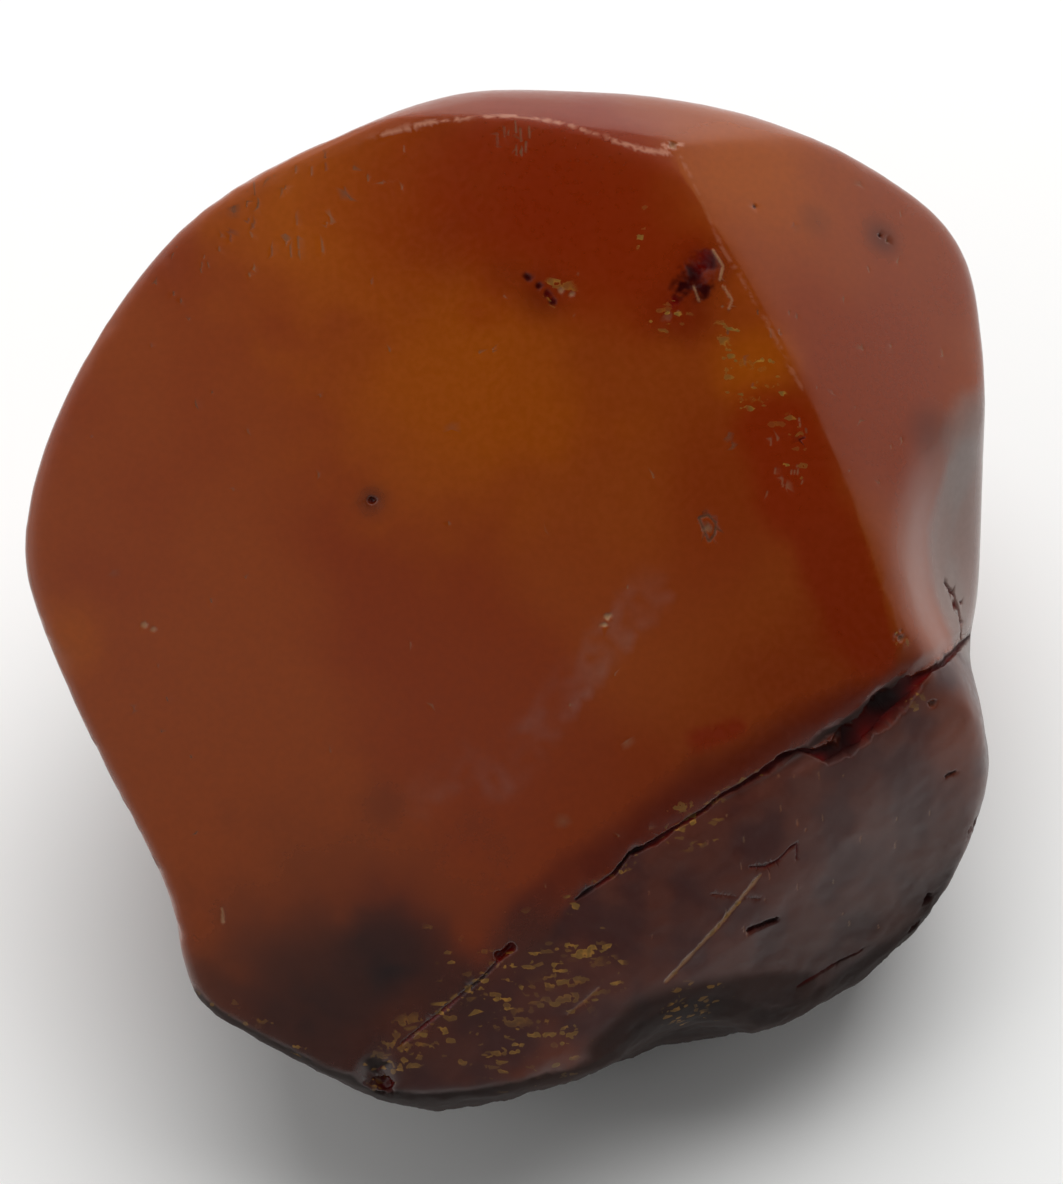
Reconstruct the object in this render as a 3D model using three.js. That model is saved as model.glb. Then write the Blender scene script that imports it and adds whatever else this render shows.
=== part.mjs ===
// Amber nugget: one solid lump of fossil resin, part ground and polished, part left as it was found.
// It rests on a ground flat, and its broad polished face leans towards the front.
// Millimetres, +Z up. X runs across the broad face, and Y runs away from the viewer.
//
// The shape is written in the face frame: u runs right across the broad face, v runs up it,
// and w stands out of it. A surface is a function that is negative inside the amber.
import * as THREE from "three";
import { mergeVertices } from "three/addons/utils/BufferGeometryUtils.js";

// Driving dimensions
const FACE_LEAN_DEG = 25; // the broad face's lean from level, towards the viewer
const CENTRE_HEIGHT = 21; // the face frame's origin above the resting flat
const FOOT_BLEND = 2.4; // rounding of the resting flat's edge
const FRONT_FADE = 4; // the fissure and pits fade out over this depth behind the front
const FRONT_DEPTH = 24; // from the widest section to the front of the unground lump
const BACK_DEPTH = 26; // from the widest section to its back
const FRONT_FULLNESS = 2.6; // 2 is a round front, and more keeps the sides steeper up to the faces
const BACK_FULLNESS = 2;
const MEAN_RADIUS = 28.5; // turns the lump's share of its own radius into a length
const CORE = new THREE.Vector3(0, 3, 11); // a point well inside, in the part's frame

// The lump's outline as seen square to the broad face, anticlockwise from the right.
const OUTLINE = [
  [27.4, 0.5],
  [27.9, 8.9],
  [27.8, 15.5],
  [26.4, 22.9],
  [16.8, 28.6],
  [3.2, 29.7],
  [-3, 29.4],
  [-9.3, 26.9],
  [-18.9, 21.2],
  [-25.9, 11.5],
  [-27.9, 3],
  [-25.2, -5.4],
  [-19.5, -16.5],
  [-18.8, -20.5],
  [-18.3, -22.7],
  [-17.1, -24.2],
  [-14.3, -25.7],
  [-6.4, -29.7],
  [-2.8, -29.7],
  [8.6, -26.9],
  [15, -25.7],
  [25.5, -18.9],
  [28.8, -11],
  [26.6, -3.3],
];
const OUTLINE_STEPS = 720;
const FLUTE_DEPTH = 12; // the outline's small turns die out this far from the widest section
const FLUTE_SPREAD_DEG = 32; // and are then averaged over this many degrees to each side

// The widest section leans back to the right and at the foot: its w at the middle, per u, and per v.
const WIDEST = { w: -1, perU: -0.16, perV: 0.07 };

// Ground faces. A face passes through the point at, and its normal leans tilt degrees from w
// towards the direction toward, in degrees from u. It is a shallow dome of radius across along
// that direction, and of radius along at right angles to it. blend rounds its edge.
const FACES = [
  { name: "broad face", at: [0, 0, 9.5], tilt: 0, toward: 0, across: 160, along: 140, blend: 0.2 },
  { name: "right face", at: [16.7, 12.2, 8.1], tilt: 32.5, toward: 28.5, across: 110, along: 92, blend: 0.2 },
  { name: "top bevel", at: [1.5, 27.3, 6.8], tilt: 51, toward: 84, across: 60, along: 60, blend: 0.3 },
  { name: "rim bevel", at: [5, 26.3, 6.95], tilt: 28, toward: 75, across: 60, along: 70, blend: 0.2 },
  { name: "lobe right", at: [15.2, -15.8, 6.1], tilt: 33, toward: -46, across: 46, along: 200, blend: 0.8 },
  { name: "lobe left", at: [0, -20.6, 7.85], tilt: 14, toward: -56, across: 180, along: 400, blend: 1 },
];
const RIM_BLEND = 0.8; // rounding where the ground faces meet the lump

// Broad water-worn flats on the sides and back, with soft edges.
const WORN_FLATS = [
  { at: [9, 25.5, -16.5], tilt: 120, toward: 68, across: 70, along: 200, blend: 6 },
  { at: [-20, 12, -14], tilt: 122, toward: 150, across: 60, along: 60, blend: 6 },
  { at: [-17, -16, -12], tilt: 125, toward: 222, across: 60, along: 60, blend: 5 },
  { at: [24, -6, -19.5], tilt: 122, toward: -12, across: 60, along: 50, blend: 5 },
];

// Hollows scooped into the lump: an ellipsoid's centre and radii, and how softly its rim turns.
const HOLLOWS = [
  { name: "waist", centre: [33, 3.2, 9.5], radii: [10.5, 12, 12], blend: 1.6 },
  { name: "foot valley", centre: [11, -31.5, 3], radii: [6, 7, 9], blend: 2 },
];

// The fissure between the broad face and the lower lobe: u, v, width and depth along its line.
const FISSURE = [
  { u: 26.4, v: -2.2, width: 0.6, depth: 0.2 },
  { u: 22.6, v: -4.6, width: 0.8, depth: 0.4 },
  { u: 19.5, v: -7.3, width: 1, depth: 0.6 },
  { u: 14.2, v: -10.4, width: 0.8, depth: 0.3 },
  { u: 7.9, v: -13.6, width: 0.6, depth: 0.15 },
  { u: 4.4, v: -17, width: 0.5, depth: 0.1 },
];

// Pits that reach below the polish.
const PITS = [
  { name: "ridge pit", u: 10.8, v: 18.9, radius: 1.3, depth: 0.2 },
  { name: "foot pit", u: -7.6, v: -27, radius: 1.5, depth: 0.8 },
];

// Low swells that keep the lump from being a smooth ball.
const SWELL_HEIGHT = 0.35;
const SWELL_WAVES = [
  { direction: [0.21, 0.05, 0.13], phase: 0.4 },
  { direction: [-0.09, 0.24, 0.08], phase: 1.9 },
  { direction: [0.12, -0.11, 0.22], phase: 3.1 },
];

// Meshing: a ball of even triangles, split where the surface bends away from them.
const BALL_DETAIL = 10;
const SPLIT_ROUNDS = 4;
const BEND_ALLOWED = 0.04;
const SHORTEST_SPLIT = 0.5;
const TURN_GAIN = 0.7; // a side is turned when its error falls to this share
const SLIMMEST = 0.25; // and leaves no triangle thinner than this, height to length
const STEEPEST = 0.15; // or that faces the core's rays more edge-on than this
const TIDY_ROUNDS = 3;
const SNAP_SHARE = 0.36; // a corner this close to a sharp edge, along a side, moves onto it
const CROSSING_HALVINGS = 14; // steps in finding an edge along a side
const JOINED = 1e-4; // corners of the ball this close are one corner
const REACH = 60; // further from the core than any of the surface
const HALVINGS = 40; // steps in finding the surface along a ray from the core

const degrees = THREE.MathUtils.degToRad;
const lean = degrees(FACE_LEAN_DEG);

// A point of the part's frame in the face frame.
function inFaceFrame(point) {
  const y = point.y;
  const z = point.z - CENTRE_HEIGHT;
  const up = y * Math.cos(lean) + z * Math.sin(lean);
  const out = z * Math.cos(lean) - y * Math.sin(lean);
  return new THREE.Vector3(point.x, up, out);
}

// The greater of two surfaces, with the edge between them rounded over the length blend.
function meet(a, b, blend) {
  const overlap = Math.max(blend - Math.abs(a - b), 0) / blend;
  return Math.max(a, b) + (overlap * overlap * blend) / 4;
}

// The outline's radius at each step round it, from a smooth closed curve through its points.
function outlineRadii() {
  const points = OUTLINE.map(([u, v]) => new THREE.Vector3(u, v, 0));
  const curve = new THREE.CatmullRomCurve3(points, true, "centripetal");
  const ring = curve.getPoints(OUTLINE_STEPS * 2);
  const radii = new Array(OUTLINE_STEPS).fill(0);
  for (let i = 0; i + 1 < ring.length; i++) {
    const from = Math.atan2(ring[i].y, ring[i].x);
    const turn = Math.atan2(ring[i + 1].y, ring[i + 1].x) - from;
    const sweep = turn < -Math.PI ? turn + 2 * Math.PI : turn;
    const first = Math.ceil((from / (2 * Math.PI)) * OUTLINE_STEPS);
    const last = Math.floor(((from + sweep) / (2 * Math.PI)) * OUTLINE_STEPS);
    for (let step = first; step <= last; step++) {
      const share = (step * 2 * Math.PI / OUTLINE_STEPS - from) / (sweep || 1);
      const radius = THREE.MathUtils.lerp(ring[i].length(), ring[i + 1].length(), share);
      radii[THREE.MathUtils.euclideanModulo(step, OUTLINE_STEPS)] = radius;
    }
  }
  return radii;
}

// The same radii averaged over FLUTE_SPREAD_DEG to each side.
function averaged(radii) {
  const spread = Math.round((FLUTE_SPREAD_DEG / 360) * OUTLINE_STEPS);
  return radii.map((_, i) => {
    let sum = 0;
    for (let j = -spread; j <= spread; j++) {
      sum += radii[THREE.MathUtils.euclideanModulo(i + j, OUTLINE_STEPS)];
    }
    return sum / (2 * spread + 1);
  });
}

const sharpRadii = outlineRadii();
const softRadii = averaged(sharpRadii);

function radiusAt(radii, angle) {
  const step = THREE.MathUtils.euclideanModulo((angle / (2 * Math.PI)) * OUTLINE_STEPS, OUTLINE_STEPS);
  const below = Math.floor(step) % OUTLINE_STEPS;
  return THREE.MathUtils.lerp(radii[below], radii[(below + 1) % OUTLINE_STEPS], step - Math.floor(step));
}

// The lump before grinding: an ellipsoid swollen to the outline at its widest section.
function lump(p) {
  const height = p.z - (WIDEST.w + WIDEST.perU * p.x + WIDEST.perV * p.y);
  const angle = Math.atan2(p.y, p.x);
  const fluted = Math.exp(-((height / FLUTE_DEPTH) ** 2));
  const radius = THREE.MathUtils.lerp(radiusAt(softRadii, angle), radiusAt(sharpRadii, angle), fluted);
  const [depth, fullness] = height > 0 ? [FRONT_DEPTH, FRONT_FULLNESS] : [BACK_DEPTH, BACK_FULLNESS];
  const [across, deep] = [Math.hypot(p.x, p.y) / radius, Math.abs(height) / depth];
  return ((across ** fullness + deep ** fullness) ** (1 / fullness) - 1) * MEAN_RADIUS;
}

// A ground face as a function of a point, from its entry in a list.
function domedFace({ at, tilt, toward, across, along, blend }) {
  const point = new THREE.Vector3(...at);
  const [sinTilt, cosTilt] = [Math.sin(degrees(tilt)), Math.cos(degrees(tilt))];
  const [sinToward, cosToward] = [Math.sin(degrees(toward)), Math.cos(degrees(toward))];
  const normal = new THREE.Vector3(sinTilt * cosToward, sinTilt * sinToward, cosTilt);
  const downhill = new THREE.Vector3(cosTilt * cosToward, cosTilt * sinToward, -sinTilt);
  const level = new THREE.Vector3(-sinToward, cosToward, 0);
  const height = (p) => {
    const offset = p.clone().sub(point);
    const dome = offset.dot(downhill) ** 2 / (2 * across) + offset.dot(level) ** 2 / (2 * along);
    return offset.dot(normal) + dome;
  };
  return { height, blend };
}

const wornFlats = WORN_FLATS.map(domedFace);
const groundFaces = FACES.map(domedFace);

// One in the middle of a mark, falling smoothly to nothing at its edge.
const rounded = (share) => (share < 1 ? (1 + Math.cos(Math.PI * share)) / 2 : 0);

// How far a point is inside a hollow, as a length: positive inside it.
function hollowDepth({ centre, radii }, p) {
  const offset = p.clone().sub(new THREE.Vector3(...centre));
  const share = offset.divide(new THREE.Vector3(...radii)).length();
  return (1 - share) * Math.min(...radii);
}

// The fissure's depth at a point of the front: a V whose width and depth change along its line.
function fissureDepth(p) {
  let deepest = 0;
  for (let i = 0; i + 1 < FISSURE.length; i++) {
    const [a, b] = [FISSURE[i], FISSURE[i + 1]];
    const [du, dv] = [b.u - a.u, b.v - a.v];
    const along = ((p.x - a.u) * du + (p.y - a.v) * dv) / (du * du + dv * dv);
    const share = THREE.MathUtils.clamp(along, 0, 1);
    const away = Math.hypot(p.x - a.u - share * du, p.y - a.v - share * dv);
    const width = THREE.MathUtils.lerp(a.width, b.width, share);
    const depth = THREE.MathUtils.lerp(a.depth, b.depth, share);
    deepest = Math.max(deepest, depth * rounded(away / width));
  }
  return deepest;
}

function pitDepth(p) {
  let deepest = 0;
  for (const pit of PITS) {
    const share = Math.hypot(p.x - pit.u, p.y - pit.v) / pit.radius;
    deepest = Math.max(deepest, pit.depth * rounded(share));
  }
  return deepest;
}

function swell(p) {
  let sum = 0;
  for (const { direction, phase } of SWELL_WAVES) {
    sum += Math.sin(direction[0] * p.x + direction[1] * p.y + direction[2] * p.z + phase);
  }
  return (SWELL_HEIGHT * sum) / SWELL_WAVES.length;
}

// All the ground faces together, and which of them a point belongs to.
function groundHeight(p) {
  return groundFaces.reduce((height, face) => meet(height, face.height(p), face.blend), -REACH);
}

function groundOwner(point) {
  const p = inFaceFrame(point);
  if (p.z < 0 || lump(p) > groundHeight(p) || fissureDepth(p) + pitDepth(p) > 0) return null;
  const heights = groundFaces.map((face) => face.height(p));
  return heights.indexOf(Math.max(...heights));
}

// The whole nugget: below zero inside the amber.
function nuggetSurface(point) {
  const p = inFaceFrame(point);
  let height = lump(p) + swell(p);
  for (const flat of wornFlats) height = meet(height, flat.height(p), flat.blend);
  height = meet(height, groundHeight(p), RIM_BLEND);
  for (const hollow of HOLLOWS) height = meet(height, hollowDepth(hollow, p), hollow.blend);
  const front = THREE.MathUtils.smoothstep(p.z, -FRONT_FADE, FRONT_FADE);
  height += front * (fissureDepth(p) + pitDepth(p));
  return meet(height, -point.z, FOOT_BLEND);
}

// The surface point straight out from the core in a direction.
function outermost(direction) {
  let [inside, outside] = [0, REACH];
  for (let i = 0; i < HALVINGS; i++) {
    const middle = (inside + outside) / 2;
    const point = direction.clone().multiplyScalar(middle).add(CORE);
    if (nuggetSurface(point) < 0) inside = middle;
    else outside = middle;
  }
  return direction.clone().multiplyScalar(inside).add(CORE);
}

const towardsCore = (point) => point.clone().sub(CORE).normalize();

// A triangle, given as three corners and the split points of its sides (or null), as smaller triangles.
function splitTriangle([a, b, c], [ab, bc, ca]) {
  const split = [ab, bc, ca].filter((middle) => middle !== null).length;
  if (split === 0) return [[a, b, c]];
  if (split === 3) return [[a, ab, ca], [ab, b, bc], [ca, bc, c], [ab, bc, ca]];
  if (split === 1) {
    if (ab !== null) return [[a, ab, c], [ab, b, c]];
    if (bc !== null) return [[a, b, bc], [a, bc, c]];
    return [[a, b, ca], [ca, b, c]];
  }
  if (ab === null) return [[a, b, ca], [ca, b, bc], [ca, bc, c]];
  if (bc === null) return [[a, ab, ca], [ab, b, c], [ab, c, ca]];
  return [[ab, b, bc], [a, ab, bc], [a, bc, c]];
}

// Where a side crosses from one ground face to another: its share of the way along, or null.
function crossing(from, to) {
  const owner = groundOwner(from);
  const other = groundOwner(to);
  if (owner === null || other === null || owner === other) return null;
  let [low, high] = [0, 1];
  for (let i = 0; i < CROSSING_HALVINGS; i++) {
    const middle = (low + high) / 2;
    if (groundOwner(outermost(towardsCore(from.clone().lerp(to, middle)))) === owner) low = middle;
    else high = middle;
  }
  return low;
}

// Lays the mesh along the sharp edges between ground faces: a corner close to such an edge moves
// onto it, and a side that still crosses one is broken there.
function alignToEdges(points, triangles) {
  const moves = new Map();
  const offer = (corner, share, point) => {
    const nearest = moves.has(corner) ? moves.get(corner).share : SNAP_SHARE;
    if (share < nearest) moves.set(corner, { share, point });
  };
  const crossings = new Map();
  for (const [a, b, c] of triangles) {
    for (const [i, j] of [[a, b], [b, c], [c, a]]) {
      if (i > j) continue;
      const share = crossing(points[i], points[j]);
      if (share === null) continue;
      const point = outermost(towardsCore(points[i].clone().lerp(points[j], share)));
      crossings.set(`${i},${j}`, point);
      offer(i, share, point);
      offer(j, 1 - share, point);
    }
  }
  for (const [corner, { point }] of moves) points[corner] = point;
  const broken = new Map();
  const breakOf = (i, j) => {
    const key = i < j ? `${i},${j}` : `${j},${i}`;
    if (!crossings.has(key) || moves.has(i) || moves.has(j)) return null;
    if (!broken.has(key)) broken.set(key, points.push(crossings.get(key)) - 1);
    return broken.get(key);
  };
  const breaksOf = ([a, b, c]) => [breakOf(a, b), breakOf(b, c), breakOf(c, a)];
  return triangles.flatMap((corners) => splitTriangle(corners, breaksOf(corners)));
}

// One round of splitting: each side whose middle lies off the surface is broken there.
function refine(points, triangles) {
  const middles = new Map();
  const middleOf = (i, j) => {
    const key = i < j ? `${i},${j}` : `${j},${i}`;
    if (!middles.has(key)) {
      const chord = points[i].clone().add(points[j]).multiplyScalar(0.5);
      const onSurface = outermost(towardsCore(chord));
      const long = points[i].distanceTo(points[j]) > SHORTEST_SPLIT;
      const bent = onSurface.distanceTo(chord) > BEND_ALLOWED;
      middles.set(key, long && bent ? points.push(onSurface) - 1 : null);
    }
    return middles.get(key);
  };
  const middlesOf = ([a, b, c]) => [middleOf(a, b), middleOf(b, c), middleOf(c, a)];
  return triangles.flatMap((corners) => splitTriangle(corners, middlesOf(corners)));
}

// How far the middle of a straight side lies from the surface.
function sideError(from, to) {
  const chord = from.clone().add(to).multiplyScalar(0.5);
  return outermost(towardsCore(chord)).distanceTo(chord);
}

// A triangle's height over its longest side: 0.87 for an even one, and near zero for a sliver.
// It is negative where the triangle leans over too far to face away from the core.
function stoutness(a, b, c) {
  const [ab, ac] = [b.clone().sub(a), c.clone().sub(a)];
  const normal = ab.clone().cross(ac);
  const stout = normal.length() / Math.max(ab.lengthSq(), ac.lengthSq(), b.distanceToSquared(c));
  return normal.normalize().dot(towardsCore(a)) > STEEPEST ? stout : -1;
}

// Two reasons to turn the side ab of two triangles into cd: stouter triangles, or a closer fit.
function stouter(a, b, c, d) {
  return Math.min(stoutness(c, d, b), stoutness(d, c, a)) > Math.min(stoutness(a, b, c), stoutness(b, a, d));
}

function closer(a, b, c, d) {
  if (Math.min(stoutness(c, d, b), stoutness(d, c, a)) < SLIMMEST) return false;
  return sideError(c, d) < TURN_GAIN * sideError(a, b);
}

// Turns each side shared by two triangles to their other corners, where that is better.
function turnSides(points, triangles, better) {
  const owners = new Map();
  triangles.forEach(([a, b, c], index) => {
    for (const [i, j, opposite] of [[a, b, c], [b, c, a], [c, a, b]]) {
      owners.set(`${i},${j}`, { index, opposite });
    }
  });
  const turned = [...triangles];
  const touched = new Set();
  for (const [key, { index, opposite }] of owners) {
    const [i, j] = key.split(",").map(Number);
    const other = owners.get(`${j},${i}`);
    if (i > j || touched.has(index) || touched.has(other.index)) continue;
    if (owners.has(`${opposite},${other.opposite}`) || owners.has(`${other.opposite},${opposite}`)) continue;
    if (!better(...[i, j, opposite, other.opposite].map((corner) => points[corner]))) continue;
    turned[index] = [opposite, other.opposite, j];
    turned[other.index] = [other.opposite, opposite, i];
    touched.add(index).add(other.index);
  }
  return turned;
}

function nuggetGeometry() {
  const ball = new THREE.IcosahedronGeometry(1, BALL_DETAIL);
  ball.deleteAttribute("normal");
  ball.deleteAttribute("uv");
  const even = mergeVertices(ball, JOINED);
  const points = [];
  for (let i = 0; i < even.attributes.position.count; i++) {
    points.push(outermost(new THREE.Vector3().fromBufferAttribute(even.attributes.position, i).normalize()));
  }
  let triangles = [];
  for (let i = 0; i < even.index.count; i += 3) {
    triangles.push([even.index.getX(i), even.index.getX(i + 1), even.index.getX(i + 2)]);
  }
  for (let round = 0; round < SPLIT_ROUNDS; round++) {
    triangles = refine(points, triangles);
    for (let tidy = 0; tidy < TIDY_ROUNDS; tidy++) triangles = turnSides(points, triangles, stouter);
    triangles = turnSides(points, triangles, closer);
  }
  triangles = alignToEdges(points, triangles);
  const geometry = new THREE.BufferGeometry().setFromPoints(points).setIndex(triangles.flat());
  geometry.computeVertexNormals();
  return geometry;
}

const amber = new THREE.MeshStandardMaterial({ color: 0x8a4416, roughness: 0.3, metalness: 0 });

const nugget = new THREE.Mesh(nuggetGeometry(), amber);
nugget.name = "nugget";
nugget.geometry.computeBoundingBox();
const middle = nugget.geometry.boundingBox.getCenter(new THREE.Vector3());
nugget.position.set(-middle.x, -middle.y, 0);

const part = new THREE.Group();
part.add(nugget);

export default part;
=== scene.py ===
import math

import bpy
import numpy as np
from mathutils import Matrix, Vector, noise
from mathutils.bvhtree import BVHTree


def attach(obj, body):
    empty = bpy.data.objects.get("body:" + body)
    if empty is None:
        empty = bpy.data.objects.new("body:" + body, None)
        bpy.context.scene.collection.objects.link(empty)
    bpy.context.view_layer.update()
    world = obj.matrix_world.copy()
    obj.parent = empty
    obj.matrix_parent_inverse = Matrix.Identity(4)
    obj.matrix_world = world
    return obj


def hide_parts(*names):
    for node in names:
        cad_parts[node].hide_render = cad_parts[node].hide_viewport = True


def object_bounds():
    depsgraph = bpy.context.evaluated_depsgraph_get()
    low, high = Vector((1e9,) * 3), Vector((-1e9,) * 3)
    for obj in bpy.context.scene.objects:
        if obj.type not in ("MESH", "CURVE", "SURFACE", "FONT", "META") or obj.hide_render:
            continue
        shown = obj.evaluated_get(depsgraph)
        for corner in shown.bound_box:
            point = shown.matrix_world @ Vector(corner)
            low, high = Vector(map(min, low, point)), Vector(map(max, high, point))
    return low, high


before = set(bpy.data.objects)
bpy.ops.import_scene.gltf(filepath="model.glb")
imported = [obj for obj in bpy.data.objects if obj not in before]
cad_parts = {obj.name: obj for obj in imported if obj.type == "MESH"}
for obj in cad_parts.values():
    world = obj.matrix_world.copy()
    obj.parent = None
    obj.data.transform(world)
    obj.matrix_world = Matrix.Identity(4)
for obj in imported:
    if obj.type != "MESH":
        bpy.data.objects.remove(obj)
cad_low, cad_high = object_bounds()

MM = 0.001

# The photograph's frame, and where the broad face lies in it. Places are in its pixels.
PHOTO_WIDE, PHOTO_HIGH = 1063, 1184
PIXEL = 0.0585 * MM
FACE_PIXEL = (510, 600)
FACE_POINT = Vector((-0.215, -0.134, 21)) * MM
ELEVATION = math.radians(65)
CAMERA_DISTANCE = 260 * MM
SENSOR_LONG_SIDE = 36

RIGHT = Vector((1, 0, 0))
UP = Vector((0, math.sin(ELEVATION), math.cos(ELEVATION)))
OUT = Vector((0, -math.cos(ELEVATION), math.sin(ELEVATION)))


def face_plane_point(pixel):
    """The point behind a photo pixel on the plane through the broad face's middle."""
    across = (pixel[0] - FACE_PIXEL[0]) * PIXEL
    up = (FACE_PIXEL[1] - pixel[1]) * PIXEL
    return FACE_POINT + RIGHT * across + UP * up


CAMERA_POINT = face_plane_point((PHOTO_WIDE / 2, PHOTO_HIGH / 2)) + OUT * CAMERA_DISTANCE

# Ground edges that stay crisp: pixels along each.
EDGES = {
    "ridge": [
        (677, 150), (721, 244), (767, 320), (801, 385), (824, 458), (847, 523), (874, 592), (888, 640),
    ],
    "bevel": [(300, 170), (370, 135), (440, 118), (520, 115), (560, 122), (640, 148), (672, 152)],
    "rim bevel": [(480, 104), (560, 106), (640, 128), (680, 142)],
}

# The fissure between the broad face and the lower lobe: pixel, half width in pixels, depth in mm.
FISSURE = [
    ((974, 636), 2, 0.2),
    ((960, 646), 3, 0.3),
    ((942, 664), 2.5, 0.3),
    ((926, 673), 3.5, 0.5),
    ((906, 688), 11, 0.7),
    ((886, 709), 15, 0.95),
    ((868, 724), 13, 0.95),
    ((848, 742), 13, 0.85),
    ((830, 754), 9, 0.6),
    ((812, 752), 3.5, 0.4),
    ((797, 751), 2.5, 0.3),
    ((783, 759), 5, 0.6),
    ((766, 771), 5, 0.6),
    ((750, 781), 3.5, 0.4),
    ((721, 796), 2.2, 0.3),
    ((703, 811), 2.2, 0.3),
    ((675, 828), 2.4, 0.3),
    ((657, 841), 3, 0.35),
    ((629, 855), 2.2, 0.3),
    ((612, 876), 2, 0.25),
    ((590, 890), 2, 0.2),
    ((576, 900), 1.5, 0.1),
]

# Other lines in the surface: pixels along the line, half width in pixels, depth in mm (less than
# nothing where it is raised), and the share of pale dust on it.
LINES = {
    "waist crease": ([(945, 583), (954, 595), (959, 611), (961, 640)], 2, 0.25, 0),
    "lobe scratch": ([(760, 875), (722, 922), (666, 981)], 2.6, 0.06, 0.7),
    "lobe hairline": ([(750, 867), (765, 867), (779, 860), (790, 848), (797, 843)], 1.6, 0.14, 0),
    "hairline tail": ([(797, 845), (797, 858)], 1.3, 0.12, 0),
    "scratch crossing": ([(711, 894), (760, 899)], 1.3, 0.08, 0.1),
    "pink scratch": ([(599, 988), (584, 1002), (568, 1014)], 1.5, 0.04, 0.35),
    "lobe seam": ([(798, 987), (832, 966), (862, 950)], 1.8, 0.14, 0),
    "lobe slit": ([(750, 931), (763, 926), (776, 921)], 4, 0.35, 0),
    "rim dash": ([(946, 777), (955, 772)], 1.8, 0.15, 0),
    "fissure end pit": ([(500, 956), (510, 949)], 6, 0.35, 0),
    "ridge pit lip": ([(713, 250), (723, 266), (720, 280)], 1.8, -0.04, 0.6),
    "ridge pit lip foot": ([(723, 286), (732, 300), (729, 309)], 1.4, -0.04, 0.5),
    "ridge pit flake": ([(694, 287), (699, 301)], 1.5, -0.03, 0.4),
    "left fleck": ([(222, 908), (223, 922)], 2, 0.03, 0.6),
    "ring chip": (
        [(699, 518), (708, 515), (716, 523), (715, 534), (709, 542), (699, 518)], 1.6, 0.06, 0.2,
    ),
    "lobe's upper edge": ([(510, 949), (486, 975), (430, 1021), (404, 1042), (378, 1070)], 2.5, 0.14, 0),
    "strip nick": ([(799, 440), (804, 438)], 1.6, 0.06, 0),
}

# Pits and chips: pixel, radius in pixels, depth in mm, and the share of pale dust inside.
PITS = {
    "ridge pit top": ((707, 261), 15, 0.03, 0),
    "ridge pit": ((695, 273), 17, 0.03, 0),
    "ridge pit left": ((683, 286), 14, 0.03, 0),
    "ridge pit right": ((703, 289), 13, 0.03, 0),
    "ridge pit foot": ((675, 301), 10, 0.03, 0),
    "ridge pit end": ((667, 316), 6, 0.03, 0.2),
    "upper pit": ((528, 278), 7, 0.04, 0),
    "upper pit middle": ((538, 285), 7, 0.04, 0),
    "upper pit tail": ((547, 294), 6, 0.03, 0),
    "upper pit foot": ((553, 301), 5, 0.03, 0),
    "upper pit flake": ((561, 290), 4, 0.04, 0.5),
    "upper pit end": ((571, 294), 4, 0.04, 0.5),
    "face hole": ((372, 500), 5, 0.25, 0),
    "right pit": ((880, 236), 4, 0.15, 0),
    "right pit side": ((887, 241), 3, 0.1, 0.3),
    "right dot": ((755, 206), 3, 0.12, 0),
    "ring chip": ((707, 528), 6, 0.05, 0.35),
    "face chip": ((608, 617), 5, 0.08, 1),
    "face chip foot": ((605, 625), 4, 0.06, 1),
    "left flake": ((145, 625), 5, 0.04, 0.6),
    "left flake end": ((153, 629), 4, 0.03, 0.5),
    "lip chip": ((901, 638), 7, 0.18, 0.4),
    "waist dot": ((961, 602), 3, 0.2, 0),
    "lobe flake hole": ((933, 704), 5, 0.25, 0.2),
    "apex notch": ((673, 145), 6, 0.2, 0.6),
    "rim notch": ((974, 826), 11, 0.5, 0.1),
    "rim chip upper": ((936, 905), 8, 0.4, 0),
    "rim chip lower": ((915, 927), 8, 0.35, 0),
    "foot notch": ((384, 1084), 13, 0.5, 0),
}

# Small pale flecks scattered over places that the polishing left worn: the place's middle and half
# sizes in pixels, the number of flecks, and how long they are, up the face, in pixels.
FLECKS = {
    "upper left rim": ((285, 212), (55, 45), 26, 8),
    "left rim": ((215, 265), (45, 40), 12, 3),
    "top rim": ((525, 140), (28, 16), 12, 8),
    "top left rim": ((370, 175), (50, 30), 10, 5),
    "ridge strip": ((765, 420), (40, 90), 18, 6),
    "broad face": ((400, 560), (330, 330), 46, 2),
    "right face": ((850, 330), (100, 170), 26, 3),
    "lobe": ((780, 850), (150, 120), 30, 4),
}
FLECK_HALF_WIDTH = 1.1
FLECK_DEPTH = 0.02
FLECK_DUST = 0.4
FLECK_SEED = 7

# Pits and cracks on the sides that the photograph doesn't show: directions in degrees, the way round
# from the viewer's side and the height above level, then radius or half width and depth in mm.
SIDE_PITS = {
    "left side pit": ((-75, -18), 0.9, 0.4),
    "left side dot": ((-88, -28), 0.4, 0.3),
    "back pit": ((172, 12), 1.3, 0.5),
    "back dot": ((158, 4), 0.5, 0.35),
    "back dot low": ((204, -12), 0.6, 0.3),
    "right side pit": ((98, -22), 0.8, 0.4),
    "right back pit": ((132, -4), 0.7, 0.35),
    "left back pit": ((-135, -6), 1.0, 0.4),
}
SIDE_CRACKS = {
    "back crack": ([(146, -22), (156, -12), (161, -4), (171, 2), (186, 4)], 0.12, 0.35),
    "left crack": ([(-95, -32), (-102, -22), (-113, -16), (-128, -14)], 0.1, 0.3),
    "right crack": ([(82, -36), (94, -30), (108, -20), (116, -8)], 0.1, 0.3),
}


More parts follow.
